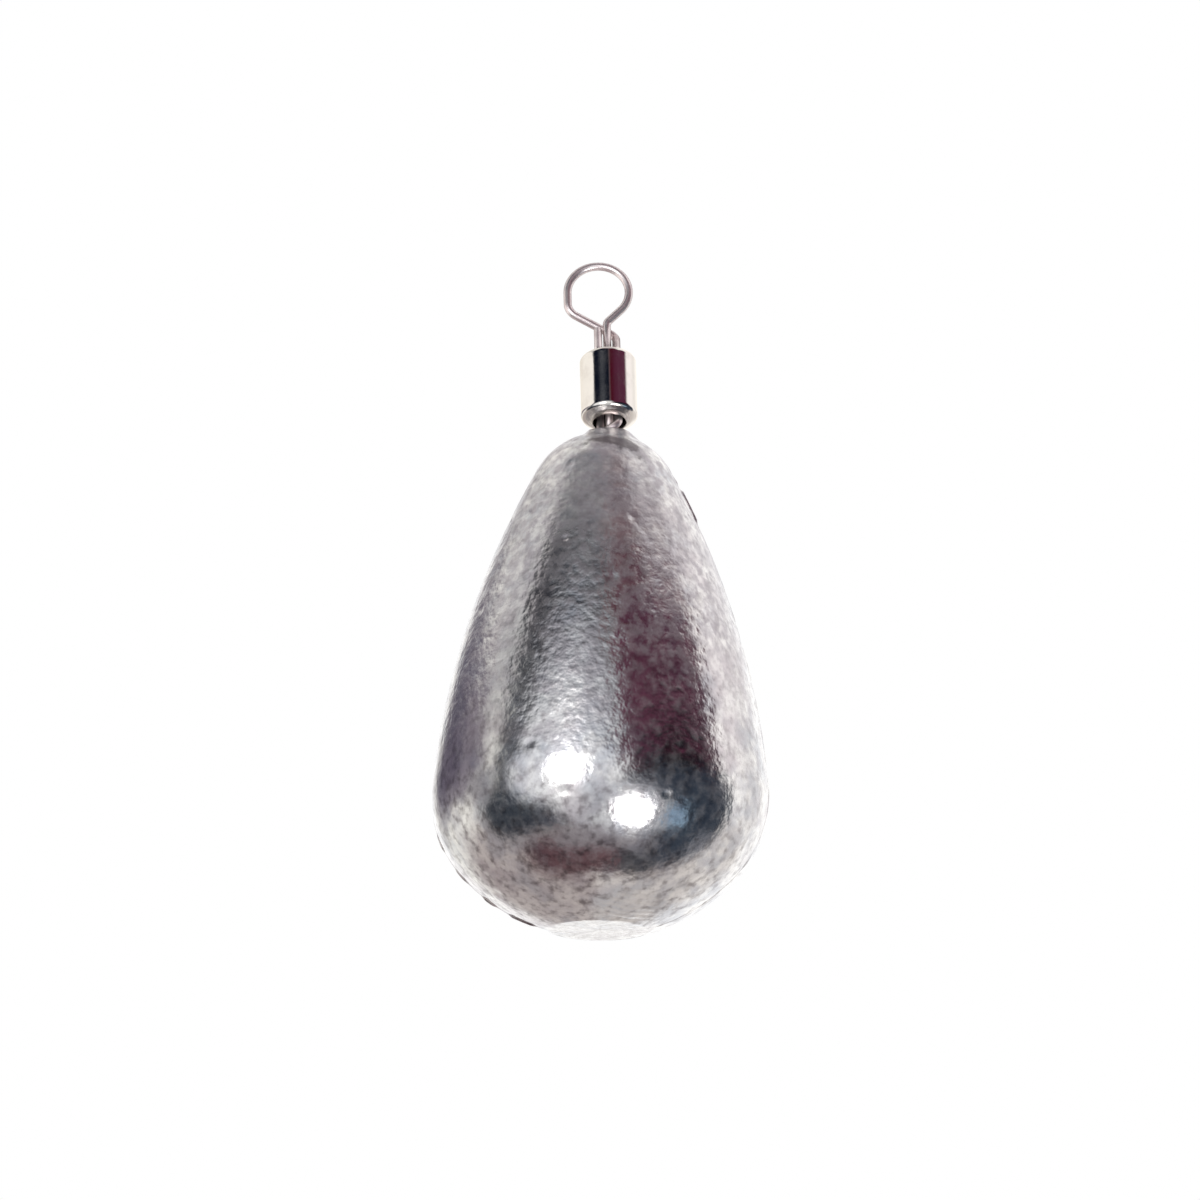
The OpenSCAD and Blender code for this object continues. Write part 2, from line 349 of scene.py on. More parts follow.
def cast_lead():
    """Lead, gravity cast in a split mould: bright grey metal under a patchy grey film of oxide. The film has
    blotches of half a millimetre, dense where the lead froze first and thin on the smooth belly. There are
    dark specks low down and file strokes where the gate was cut off, and a crescent of painted shade on the
    crown where the barrel's dark underside is mirrored."""
    material, tree = new_material("cast lead")
    at = add(tree, "ShaderNodeTexCoord").outputs["Object"]
    scar = add(tree, "ShaderNodeAttribute", attribute_name="scar").outputs["Fac"]
    patches = add(tree, "ShaderNodeTexNoise", grain(at, PATCH_W))
    clouds = add(tree, "ShaderNodeTexNoise", grain(at, CLOUD_W))
    blotches = add(tree, "ShaderNodeTexNoise", grain(at, BLOTCH_W, 2.0))
    height = uneven_height(tree, at, patches)
    upper = add(tree, "ShaderNodeMapRange", span(height, 13 * MM, 21 * MM), interpolation_type="SMOOTHSTEP")
    waves = file_strokes(tree, at, clouds)
    film = oxide_film(tree, blotches, clouds, height)
    colour = filmed_colour(tree, patches, clouds, film)
    colour = dark_specks(tree, at, height, colour)
    # Painted shade: a dark crescent where the barrel's underside is mirrored on the crown
    colour = painted_barrel_shade(tree, at, blotches, colour)
    colour = filed_colour(tree, scar, waves, blotches, colour)
    bare = add(tree, "ShaderNodeMapRange", span(film, 0.0, 1.0, 1.0, 0.8), interpolation_type="SMOOTHSTEP")

    # Fine ripples run round it, so that what it mirrors is drawn out up and down
    around = add(tree, "ShaderNodeTangent", direction_type="RADIAL", axis="Z")
    shader = add(tree, "ShaderNodeBsdfPrincipled", {
        "Base Color": colour, "Metallic": bare, "Roughness": lead_roughness(tree, upper, height),
        "Normal": lead_bump(tree, at, blotches, waves, scar, upper),
        "Anisotropic": 0.6, "Anisotropic Rotation": 0.25, "Tangent": around,
    })
    add(tree, "ShaderNodeOutputMaterial", {"Surface": shader})
    return material


def bright_nickel(name, tint, dulled, edge, smooth, mirror):
    """Bright nickel plate: a mirror of a warm white, with faint handling marks in its roughness, drawn an
    eighth of a millimetre wide so that they show. The barrel's bore is painted dark brown and made rougher,
    as painted shade inside the hole."""
    material, tree = new_material(name)
    at = add(tree, "ShaderNodeTexCoord").outputs["Object"]
    bore = add(tree, "ShaderNodeAttribute", attribute_name="bore").outputs["Fac"]
    smears = add(tree, "ShaderNodeTexNoise", grain(at, SMEAR_W))
    marks = add(tree, "ShaderNodeTexNoise", grain(at, MARK_W, 4.0))
    dull = add(tree, "ShaderNodeMapRange", span(smears, 0.45, 0.7), interpolation_type="SMOOTHSTEP")
    plate = add(tree, "ShaderNodeMix", {"Factor": dull, "A": linear(tint), "B": linear(dulled)},
                data_type="RGBA")
    # Painted shade: the marked bore is coloured dark brown, for the shade inside the hole
    colour = add(tree, "ShaderNodeMix", {"Factor": bore, "A": plate, "B": linear("#3A312B")},
                 data_type="RGBA")
    smeared = add(tree, "ShaderNodeMath", {0: smears, 1: 0.6}, operation="MULTIPLY")
    wear = add(tree, "ShaderNodeMath", {0: marks, 1: 0.4, 2: smeared}, operation="MULTIPLY_ADD")
    worn = add(tree, "ShaderNodeMapRange", span(wear, 0.3, 0.7, smooth, smooth + 0.1),
               interpolation_type="SMOOTHSTEP")
    rough = add(tree, "ShaderNodeMath", {0: bore, 1: 0.4, 2: worn}, operation="MULTIPLY_ADD")
    bump = add(tree, "ShaderNodeBump", {"Height": marks, "Distance": NICKEL_BUMP * MM, "Strength": 0.6})
    shader = add(tree, "ShaderNodeBsdfPrincipled", {
        "Base Color": colour, "Metallic": mirror, "Roughness": rough, "Normal": bump,
        # The specular tint colours the plate at grazing angles; a dark one is painted shade along the edges
        "Specular Tint": linear(edge),
    })
    add(tree, "ShaderNodeOutputMaterial", {"Surface": shader})
    return material


# Lead body

def outline_arcs():
    """The outline's arcs from the flat to the crown: middle, radius, first and last turn."""
    base_r = BODY_D / 2 + BASE_SWELL
    belly_r = BODY_D / 2 - BELLY_INSET
    base_c = np.array([0, math.sqrt(base_r ** 2 - (FLAT_D / 2) ** 2)])
    belly_turn = math.asin(BELLY_INSET / (base_r - belly_r))
    belly_c = base_c + (base_r - belly_r) * outward(belly_turn)
    crown_c = np.array([0, BODY_H - CROWN_R])
    way = crown_c - belly_c
    far = np.linalg.norm(way)
    to_belly, to_crown = FLANK_R - belly_r, FLANK_R - CROWN_R
    along = (to_belly ** 2 - to_crown ** 2 + far ** 2) / (2 * far)
    aside = math.sqrt(to_belly ** 2 - along ** 2)
    up = way / far
    flank_c = belly_c + along * up + aside * np.array([-up[1], up[0]])
    flat_turn = math.acos(base_c[1] / base_r)
    flank_turn, crown_turn = turn_of(belly_c - flank_c), turn_of(crown_c - flank_c)
    return [
        (base_c, base_r, flat_turn, belly_turn),
        (belly_c, belly_r, belly_turn, flank_turn),
        (flank_c, FLANK_R, flank_turn, crown_turn),
        (crown_c, CROWN_R, crown_turn, math.pi),
    ]


def outline_rings():
    """Radius, height and turn of each ring of the body, without the two poles."""
    rings = [(r, 0.0, 0.0) for r in np.arange(FLAT_STEP, FLAT_D / 2 - FLAT_STEP / 2, FLAT_STEP)]
    for middle, radius, first, last in outline_arcs():
        count = round(radius * (last - first) / ALONG_STEP)
        for turn in np.linspace(first, last, count, endpoint=False):
            at = middle + radius * outward(turn)
            rings.append((at[0], at[1], turn))
    return np.array(rings)


def crowded_angles():
    """Angles round the axis, close together where the mould's ridge runs."""
    fine = np.arange(-SEAM_FINE, SEAM_FINE, SEAM_FINE_STEP)
    wide_count = round((180 - 2 * SEAM_FINE) / ROUND_STEP)
    wide = np.linspace(SEAM_FINE, 180 - SEAM_FINE, wide_count, endpoint=False)
    half = np.concatenate([fine, wide]) - SEAM_TURN
    return np.radians(np.concatenate([half, half + 180]))


def noise_over(points, mm, seed):
    """Perlin noise at many points, from -1 to 1, with features this many millimetres wide."""
    shift = Vector((seed * 17.3, seed * -9.1, seed * 5.7))
    return np.array([noise.noise(Vector(p) / mm + shift) for p in points])


def on_body(azimuth, height, points):
    """The mesh point at an angle to the right of the front, in degrees, and at a height, in millimetres."""
    a = math.radians(azimuth)
    sideways = points[:, :2] @ np.array([math.cos(a), math.sin(a)])
    ahead = points[:, :2] @ np.array([math.sin(a), -math.cos(a)])
    behind = np.where(ahead > 0, 0, BODY_H)
    return points[np.argmin(np.hypot(sideways, points[:, 2] - height) + behind)]


def uneven_face(points):
    """Depth of the lumps, ripples and grain that the mould's face left."""
    upper = smoothstep(9, 19, points[:, 2])
    depth = np.zeros(len(points))
    for width, low, more, seed in WAVES:
        depth += (low + more * upper) * (0.5 + 0.5 * noise_over(points, width, seed))
    return depth


def blow_holes(points):
    """Depth of the blow holes and dents, which are deeper towards the crown."""
    rng = np.random.default_rng(HOLE_SEED)
    depths = np.zeros(len(points))
    for _ in range(HOLES):
        middle = points[rng.integers(len(points))]
        radius = rng.uniform(*HOLE_R)
        depth = radius * rng.uniform(*HOLE_DEPTH)
        near = np.linalg.norm(points - middle, axis=1) / radius
        depths += depth * (1 - smoothstep(0.2, 1.0, near)) * (0.3 + 0.7 * smoothstep(6, 20, middle[2]))
    return depths


def single_pits(points):
    """Depth of a blister and two pits on the smooth front."""
    depths = np.zeros(len(points))
    for azimuth, height, radius, depth in PITS:
        near = np.linalg.norm(points - on_body(azimuth, height, points), axis=1) / radius
        depths += depth * (1 - smoothstep(0.3, 1.0, near))
    return depths


def mould_ridge(points):
    """Share of the height of the mould's ridge: broken flash, most of it low on the left and high on the
    right."""
    x, _, z = points.T
    turn = math.radians(SEAM_TURN)
    aside = np.abs(points @ np.array([math.sin(turn), math.cos(turn), 0]))
    broken = smoothstep(-0.1, 0.3, noise_over(points * np.array([1, 0, 1]), 0.9, 4))
    left_low = smoothstep(-2, -6, x) * smoothstep(8, 4, z)
    right_high = smoothstep(1, 3, x) * smoothstep(24, 27, z) * smoothstep(31, 29.5, z)
    share = np.clip(0.15 + 0.55 * broken * np.maximum(left_low, right_high) + 0.1 * broken, 0, 1)
    return smoothstep(SEAM_W * 0.62, SEAM_W * 0.2, aside) * share * smoothstep(0.0, 0.4, z)


def cut_gate(points):
    """Shares of the cut gate's flat, of the filed hollow beside it, and of the bare metal on both."""
    x, y, z = points.T
    out, flat_r = np.hypot(x, y), FLAT_D / 2
    uneven = 0.4 * noise_over(points, 1.3, 5)
    flat = smoothstep(flat_r + 0.15, flat_r - 0.1, out) * smoothstep(1, 0.5, z)
    from_filed = np.hypot(x - FILED_AT[0], y - FILED_AT[1]) + uneven
    filed = smoothstep(FILED_R, FILED_R - 1.2, from_filed) * smoothstep(4, 3, z)
    scar = np.maximum(smoothstep(flat_r + 0.2, flat_r - 0.6, out + uneven) * flat, 0.8 * filed)
    return flat, filed, scar


def with_collar(relief, points, normals):
    """The relief with the low collar that rose round the wire, filleted into the crown."""
    x, y, z = points.T
    seat = frame["joints"][0]["pos_m"][0] / MM
    from_seat = np.hypot(x - seat, y)
    foot = BODY_H - CROWN_R + math.sqrt(CROWN_R ** 2 - (COLLAR_D / 2 + COLLAR_FLARE + seat) ** 2)
    slope = (BODY_H + COLLAR_H - foot) / COLLAR_FLARE
    cone = BODY_H + COLLAR_H - slope * np.maximum(from_seat - COLLAR_D / 2, 0)
    on_crown = (z > BODY_H - CROWN_R) & (from_seat < COLLAR_D)
    rise = np.where(on_crown, (cone - z) * normals[:, 2], -1)
    filleted = 0.5 * (relief + rise + np.sqrt((relief - rise) ** 2 + FILLET ** 2)) - FILLET_SINK
    return np.where(rise > -0.3, filleted, relief)


def body_relief(points, normals):
    """How far each point of the casting stands out of the true form, in millimetres, and its bare metal."""
    relief = -uneven_face(points) - blow_holes(points) - single_pits(points)
    ridge = mould_ridge(points)
    relief = relief * (1 - ridge) + SEAM_H * ridge
    flat, filed, scar = cut_gate(points)
    relief = relief * (1 - flat) - filed * (1 - flat) * FILED_DEPTH
    return with_collar(relief, points, normals), scar


def turned(out, up, angles):
    """A section's points or directions turned all round, one ring after another."""
    level = np.repeat(up[:, None], len(angles), 1)
    rings = [np.outer(out, np.cos(angles)), np.outer(out, np.sin(angles)), level]
    return np.stack(rings, axis=2).reshape(-1, 3)


def lead_body(material):
    """Round body with every mark of its casting in the mesh, closed at both poles."""
    rings, angles = outline_rings(), crowded_angles()
    radius, height, turn = rings.T
    points = np.concatenate([turned(radius, height, angles), [[0, 0, 0], [0, 0, BODY_H]]])
    normals = np.concatenate([turned(np.sin(turn), -np.cos(turn), angles), [[0, 0, -1], [0, 0, 1]]])
    relief, scar = body_relief(points, normals)
    placed = points + normals * relief[:, None]
    n, last = len(angles), len(rings) - 1
    faces = ring_faces(len(rings), n)
    flat_pole, crown_pole = len(points) - 2, len(points) - 1
    faces += [(flat_pole, (j + 1) % n, j) for j in range(n)]
    faces += [(crown_pole, n * last + j, n * last + (j + 1) % n) for j in range(n)]
    piece = mesh_piece("lead_body", placed * MM, faces, material, "sinker", "sinker_body")
    mark_points(piece.data, "scar", scar)


# Swivel

def swivel_place():
    """Where the swivel's lower end stands and how it leans, from the two joints, and its barrel's length."""
    middle, top = (Vector(j["pos_m"]) for j in frame["joints"])
    axis = Vector(frame["joints"][0]["axis"]).normalized()
    back = math.asin(axis.y)
    left = math.atan2(-axis.x, axis.z)
    turn = Matrix.Rotation(-left, 4, "Y") @ Matrix.Rotation(-back, 4, "X")
    length = 2 * (top - middle).length / MM
    return Matrix.Translation(2 * middle - top) @ turn, length


def wound_sizes():
    """Distance of the wire's wound end from the stem, and the radius of the mouth that it turns in."""
    wound_r = WIRE_D + WOUND_GAP
    reach = wound_r * math.sqrt(2) - HOOK_BEND_R * (math.sqrt(2) - 1) + WIRE_D / 2
    return wound_r, reach + MOUTH_GAP


def bend_points(before, at, after, radius):
    """Points of the arc that rounds one corner of a wire."""
    way_in, way_out = (at - before).normalized(), (after - at).normalized()
    angle = way_in.angle(way_out)
    take = radius * math.tan(angle / 2)
    inward = way_in.cross(way_out).normalized().cross(way_in)
    start = at - take * way_in
    middle = start + radius * inward
    steps = max(3, round(math.degrees(angle) / WIRE_STEP))
    return [middle + radius * (way_in * math.sin(t) - inward * math.cos(t))
            for t in np.linspace(0, angle, steps)]


def eye_points():
    """The wire's line up its stem, round the eye, behind the stem and back up to its cut end."""
    rise, fall = math.radians(RISE_LEAN), math.tan(math.radians(RETURN_SLOPE))
    wound_r, _ = wound_sizes()
    reach = LOOP_R + LOOP_OFFSET
    middle = Vector((-LOOP_OFFSET, 0, (LOOP_R - LOOP_OFFSET * math.cos(rise)) / math.sin(rise)))
    start = middle + LOOP_R * Vector((math.cos(rise), 0, -math.sin(rise)))
    end = middle - Vector((LOOP_R, 0, 0))
    corner = Vector((end.x, 0, reach * fall - CROSS_DROP))
    behind = Vector((wound_r, wound_r * (reach + wound_r) / reach, -CROSS_DROP - wound_r * fall))
    hook_z = -LINE_NECK - HOOK_SINK
    hook_right, hook_left = Vector((wound_r, -wound_r, hook_z)), Vector((-wound_r, -wound_r, hook_z))
    tail = Vector((-wound_r, 0, -CROSS_DROP - TAIL_DROP))
    points = bend_points(Vector((0, 0, -LINE_NECK)), Vector((0, 0, 0)), start, STEM_BEND_R)
    turns = np.radians(np.arange(-RISE_LEAN + WIRE_STEP, 180, WIRE_STEP))
    points += [middle + LOOP_R * Vector((math.cos(t), 0, math.sin(t))) for t in turns]
    corners = [end, corner, behind, hook_right, hook_left, tail]
    for i, radius in enumerate((CORNER_BEND_R, BEHIND_BEND_R, HOOK_BEND_R, HOOK_BEND_R)):
        points += bend_points(*corners[i:i + 3], radius)
    return points + [tail]


def wire_route():
    """The wire's line from the head in the barrel to its cut end, and how much it swells at each point."""
    foot = Vector((0, 0, -LINE_NECK - LIP_L - END_GAP - HEAD_T))
    top = foot + Vector((0, 0, HEAD_T))
    chamfer = Vector((0, 0, HEAD_CHAMFER))
    eye = eye_points()
    line = [foot, foot + chamfer, top - chamfer, top, top + chamfer] + eye
    full = (BARREL_D / 2 - BARREL_WALL - HEAD_GAP) / (WIRE_D / 2)
    rim = HEAD_CHAMFER_SHARE * full
    return line, [rim, full, full, rim, 1.0] + [1.0] * len(eye)


def wire_tree():
    """Node tree that sweeps a round wire along a line of edges."""
    tree = bpy.data.node_groups.new("drawn wire", "GeometryNodeTree")
    face = tree.interface
    face.new_socket("Geometry", in_out="INPUT", socket_type="NodeSocketGeometry")
    face.new_socket("Wire Diameter", in_out="INPUT", socket_type="NodeSocketFloat")
    face.new_socket("Sides", in_out="INPUT", socket_type="NodeSocketInt")
    face.new_socket("Plate", in_out="INPUT", socket_type="NodeSocketMaterial")
    face.new_socket("Geometry", in_out="OUTPUT", socket_type="NodeSocketGeometry")
    given = add(tree, "NodeGroupInput").outputs
    line = add(tree, "GeometryNodeMeshToCurve", {"Mesh": given["Geometry"]})
    swell = add(tree, "GeometryNodeInputNamedAttribute", {"Name": "swell"}, data_type="FLOAT")
    radius = add(tree, "ShaderNodeMath", {0: given["Wire Diameter"], 1: 2.0}, operation="DIVIDE")
    section = add(tree, "GeometryNodeCurvePrimitiveCircle", {"Resolution": given["Sides"], "Radius": radius})
    tube = add(tree, "GeometryNodeCurveToMesh",
               {"Curve": line, "Profile Curve": section, "Scale": swell, "Fill Caps": True})
    solid = add(tree, "GeometryNodeRealizeInstances", {"Geometry": tube})
    plated = add(tree, "GeometryNodeSetMaterial", {"Geometry": solid, "Material": given["Plate"]})
    add(tree, "NodeGroupOutput", {"Geometry": plated})
    return tree


def wire_piece(name, place, material, body, replaced, tree):
    """One eye, swept along its route and turned into a plain mesh."""
    line, swell = wire_route()
    mesh = bpy.data.meshes.new("route")
    mesh.from_pydata([place @ (p * MM) for p in line], [(i, i + 1) for i in range(len(line) - 1)], [])
    mark_points(mesh, "swell", swell)
    route = bpy.data.objects.new("route", mesh)
    bpy.context.scene.collection.objects.link(route)
    sweep = route.modifiers.new("sweep", "NODES")
    sweep.node_group = tree
    values = {"Wire Diameter": (WIRE_D - WIRE_TRIM) * MM, "Sides": WIRE_SIDES, "Plate": material}
    for item in tree.interface.items_tree:
        if item.in_out == "INPUT" and item.name in values:
            sweep[item.identifier] = values[item.name]
    shaped = bpy.data.meshes.new_from_object(route.evaluated_get(bpy.context.evaluated_depsgraph_get()))
    shaped.name = name
    bpy.data.objects.remove(route)
    finish_piece(name, shaped, material, body, replaced)


def arc_between(middle, radius, first, last, count):
    """Points of an arc in the section, between two angles in degrees."""
    return [tuple(np.array(middle) + radius * np.array([math.cos(t), math.sin(t)]))
            for t in np.radians(np.linspace(first, last, count))]


def barrel_section(length):
    """Half section of the barrel, once round: out along an end, up the side, in along the other end, and
    back down the bore."""
    _, mouth_r = wound_sizes()
    outer, bore, edge = BARREL_D / 2, BARREL_D / 2 - BARREL_WALL, MOUTH_EDGE_R
    lean = math.degrees(math.atan2(outer - mouth_r, LIP_L))
    shoulder = (outer - LIP_EDGE_R, LIP_L + LIP_EDGE_R * math.tan(math.radians(lean / 2)))
    end = arc_between((mouth_r + edge, LIP_L - edge), edge, 90, 180, MOUTH_POINTS)
    end += arc_between((mouth_r + edge, 2 * edge), edge, 180, 360 - lean - RIM_SHORT, RIM_POINTS)
    end += arc_between(shoulder, LIP_EDGE_R, -lean, 0, SHOULDER_POINTS)
    end.append((outer, shoulder[1] + EDGE_SUPPORT))
    low = shoulder[1] + SIDE_INSET
    side = [(outer, z) for z in np.linspace(low, length - low, SIDE_POINTS)]
    other_end = [(r, length - z) for r, z in reversed(end)]
    back = [
        (bore - EDGE_SUPPORT, length - LIP_L),
        (bore, length - LIP_L - EDGE_SUPPORT),
        (bore, LIP_L + EDGE_SUPPORT),
        (bore - EDGE_SUPPORT, LIP_L),
    ]
    return end + side + other_end + back


def barrel_shell(place, length, material):
    """The barrel: its section turned all round, with its bore marked."""
    section = barrel_section(length)
    angles = np.linspace(0, 2 * math.pi, BARREL_SIDES, endpoint=False)
    verts = [place @ (Vector((r * math.cos(a), r * math.sin(a), z)) * MM)
             for r, z in section for a in angles]
    faces = ring_faces(len(section), BARREL_SIDES, closed=True)
    piece = mesh_piece("barrel_shell", verts, faces, material, "barrel", "swivel_barrel")
    deep, wall_r = LIP_L * 0.6, BARREL_D / 2 - BARREL_WALL / 2
    in_bore = [deep < z < length - deep and r < wall_r for r, z in section]
    # The bore mark darkens the inside of the hole in the material, as painted shade
    mark_points(piece.data, "bore", np.repeat(in_bore, BARREL_SIDES))


lead = cast_lead()
# The wire's dark edge tint is painted shade along its grazing edges
plated_wire = bright_nickel(
    "satin nickel plate on drawn wire",
    tint="#F8EDEB", dulled="#E2D4D4", edge="#3A2C32", smooth=0.27, mirror=0.92,
)
plated_barrel = bright_nickel(
    "bright nickel plate on pressed brass",
    tint="#F0EBE4", dulled="#E6E0D9", edge="#F6F3EE", smooth=0.05, mirror=1.0,
)

# The hidden CAD solids have the same finish as the pieces that stand for them
for node, material in (("sinker_body", lead), ("anchor_eye", plated_wire),
                       ("swivel_barrel", plated_barrel), ("line_eye", plated_wire)):
    slots = frame["nodes"][node].data.materials
    slots.clear()
    slots.append(material)

lead_body(lead)
swivel, barrel_length = swivel_place()
drawn_wire = wire_tree()
line_place = swivel @ Matrix.Translation((0, 0, (barrel_length + LINE_NECK) * MM))
anchor_place = swivel @ Matrix.Translation((0, 0, -ANCHOR_NECK * MM)) @ Matrix.Rotation(math.pi, 4, "X")
wire_piece("line_wire", line_place, plated_wire, "upper_eye", "line_eye", drawn_wire)
wire_piece("anchor_wire", anchor_place, plated_wire, "sinker", "anchor_eye", drawn_wire)
barrel_shell(swivel, barrel_length, plated_barrel)

# Camera, a little below the sinker and square to it, in degrees and millimetres
VIEW_DIP = 12.6
VIEW_ROLL = 0.6
VIEW_FAR = 2000.0
FRAME_W = 78.0
AIM = (-0.15, 0.0, 21.95)


def make_camera():
    """Long lens from the photo's side, which sees the sinker almost without perspective."""
    data = bpy.data.cameras.new("camera")
    data.sensor_width = 36.0
    data.lens = data.sensor_width * VIEW_FAR / FRAME_W
    data.clip_start, data.clip_end = 0.01, 10.0
    camera = bpy.data.objects.new("camera", data)
    dip = math.radians(VIEW_DIP)
    back = Vector((0, -math.cos(dip), -math.sin(dip)))
    look = (-back).to_track_quat("-Z", "Y").to_matrix().to_4x4()
    roll = Matrix.Rotation(math.radians(VIEW_ROLL), 4, "Z")
    camera.matrix_world = Matrix.Translation((Vector(AIM) + back * VIEW_FAR) * MM) @ look @ roll
    bpy.context.scene.collection.objects.link(camera)
    bpy.context.scene.camera = camera


# Studio: a white surround that only the metal sees, with soft-edged cards all round it. Each card: name,
# direction to the right of the front, elevation, half width and half height, all in degrees, how square it
# is (2 is an oval), how soft its edge is, and its colour. A later card lies over an earlier one.
SURROUND_LEVEL = 1.2
CARDS = (
    ("white left", -112, 22, 46, 64, 4, 0.2, "#E2E1DD"),
    ("pale underneath", 0, -66, 720, 34, 12, 0.3, "#C4BFBD"),
    ("grey left underneath", -118, -54, 62, 34, 4, 0.25, "#A8A09F"),
    ("pale right underneath", 124, -25, 26, 16, 2, 0.4, "#D6D2D0"),
    ("white right", 96, 40, 38, 34, 3, 0.4, "#F2EFF0"),
    ("grey overhead", 0, 92, 720, 23, 12, 0.35, "#A9A1A6"),
    ("slate front", 2, -4, 80, 44, 5, 0.12, "#383D47"),
    ("plum underneath", -4, -76, 112, 26, 5, 0.25, "#54383E"),
    ("black left, high", -36, 50, 46, 24, 5, 0.25, "#090F1D"),
    ("red right, high", 30, 57, 27, 15, 4, 0.2, "#420A1C"),
    ("mauve right", 50, 26, 39, 24, 4, 0.15, "#4E263A"),
    ("black right", 54, 12, 30, 14, 2, 0.5, "#0C060C"),
    ("slate right", 67, -32, 38, 43, 4, 0.15, "#2E3642"),
    ("slate right, low", 75, -72, 32, 10, 2, 0.5, "#22252C"),
    ("grey front, low", 4, -60, 62, 11, 3, 0.4, "#7A757A"),
    ("slate left", -74, -25, 23, 17, 3, 0.3, "#2C323B"),
    ("haze left", -120, 14, 31, 16, 4, 0.35, "#7C7680"),
    ("grey left, high", -88, 36, 13, 10, 2, 0.5, "#A2A3A6"),
    ("mauve left", -130, 15, 18, 9, 2, 0.5, "#5A5462"),
    ("pale left, high", -100, 49, 20, 15, 2, 0.5, "#CBCACB"),
    ("grey left", -91, 1, 12, 11, 2, 0.5, "#8C8A8E"),
    ("grey right, low", 99, -38, 9, 9, 2, 0.5, "#6C6E76"),
    ("pale far right", 129, 7, 16, 18, 2, 0.5, "#E4E2E2"),
    ("spill above the left lamp", -20, 32, 31, 13, 2, 0.35, "#9A9EA6"),
    ("spill of the left lamp", -25, 4, 39, 26, 3, 0.25, "#E2E4E8"),
    ("spill between the lamps", -8, -22, 28, 24, 2, 0.4, "#DFE0E3"),
    ("spill of the right lamp", 20, -33, 38, 23, 2, 0.35, "#B4B6BB"),
    ("cool spot", 62, -30, 9, 8, 2, 0.5, "#8FA9BF"),
)


def squared_distance(tree, angle, middle, half, square):
    """How far an angle is from a card's middle, as a share of its half size, to the card's own power."""
    off = add(tree, "ShaderNodeMath", {0: angle, 1: middle}, operation="SUBTRACT")
    share = add(tree, "ShaderNodeMath", {0: off, 1: half}, operation="DIVIDE")
    far = add(tree, "ShaderNodeMath", {0: share}, operation="ABSOLUTE")
    return add(tree, "ShaderNodeMath", {0: far, 1: square}, operation="POWER")


def card_mask(tree, azimuth, elevation, middle, up, half_w, half_h, square, soft):
    """Share of a soft-edged card in a direction: an oval at 2, and squarer the higher its power."""
    aside = squared_distance(tree, azimuth, middle, half_w, square)
    above = squared_distance(tree, elevation, up, half_h, square)
    both = add(tree, "ShaderNodeMath", {0: aside, 1: above}, operation="ADD")
    far = add(tree, "ShaderNodeMath", {0: both, 1: 1 / square}, operation="POWER")
    return add(tree, "ShaderNodeMapRange", span(far, 1 - soft, 1 + soft, 1.0, 0.0),
               interpolation_type="SMOOTHSTEP")


def make_world():
    """Plain white to the camera, and the surround with its cards to all other rays."""
    world = bpy.data.worlds.new("studio")
    bpy.context.scene.world = world
    world.use_nodes = True
    tree = world.node_tree
    tree.nodes.clear()
    way = add(tree, "ShaderNodeTexCoord").outputs["Generated"]
    parts = add(tree, "ShaderNodeSeparateXYZ", {"Vector": way}).outputs
    ahead = add(tree, "ShaderNodeMath", {0: parts["Y"], 1: -1.0}, operation="MULTIPLY")
    turn = add(tree, "ShaderNodeMath", {0: parts["X"], 1: ahead}, operation="ARCTAN2")
    rise = add(tree, "ShaderNodeMath", {0: parts["Z"]}, operation="ARCSINE")
    azimuth = add(tree, "ShaderNodeMath", {0: turn}, operation="DEGREES")
    elevation = add(tree, "ShaderNodeMath", {0: rise}, operation="DEGREES")
    colour = linear("#FFFFFF")
    for _, *card, tint in CARDS:
        share = card_mask(tree, azimuth, elevation, *card)
        colour = add(tree, "ShaderNodeMix", {"Factor": share, "A": colour, "B": linear(tint)},
                     data_type="RGBA")
    surround = add(tree, "ShaderNodeBackground", {"Color": colour, "Strength": SURROUND_LEVEL})
    white = add(tree, "ShaderNodeBackground", {"Color": linear("#FFFFFF"), "Strength": 1.0})
    seen = add(tree, "ShaderNodeLightPath").outputs["Is Camera Ray"]
    light = add(tree, "ShaderNodeMixShader", {0: seen, 1: surround, 2: white})
    add(tree, "ShaderNodeOutputWorld", {"Surface": light})


# Lamps: their distance in metres, and for each its direction to the right of the front, elevation, width and
# height in degrees, and how many times white it is
LAMP_FAR = 0.9
LAMPS = (
    ("left lamp", -23, 5.5, 27, 28, 3.5),
    ("right lamp", 26, -33, 28, 23, 5.6),
)


def lamp(name, azimuth, elevation, width, height, level):
    """An oval soft lamp in a direction from the sinker, at which it faces."""
    a, e = math.radians(azimuth), math.radians(elevation)
    way = Vector((math.sin(a) * math.cos(e), -math.cos(a) * math.cos(e), math.sin(e)))
    data = bpy.data.lights.new(name, "AREA")
    data.shape = "ELLIPSE"
    data.size = 2 * LAMP_FAR * math.tan(math.radians(width / 2))
    data.size_y = 2 * LAMP_FAR * math.tan(math.radians(height / 2))
    data.energy = level * math.pi ** 2 * data.size * data.size_y / 4
    light = bpy.data.objects.new(name, data)
    stand = Matrix.Translation(Vector((0, 0, BODY_H / 2 * MM)) + way * LAMP_FAR)
    light.matrix_world = stand @ way.to_track_quat("Z", "Y").to_matrix().to_4x4()
    bpy.context.scene.collection.objects.link(light)
    light.visible_camera = False


# Floor: how far under the sinker it lies and where it fades to white, in millimetres, its least share of
# white, and half its side in metres
FLOOR_DROP = 0.05
FLOOR_FADE = (20, 90)
FLOOR_WHITE = 0.4
FLOOR_HALF = 3.0


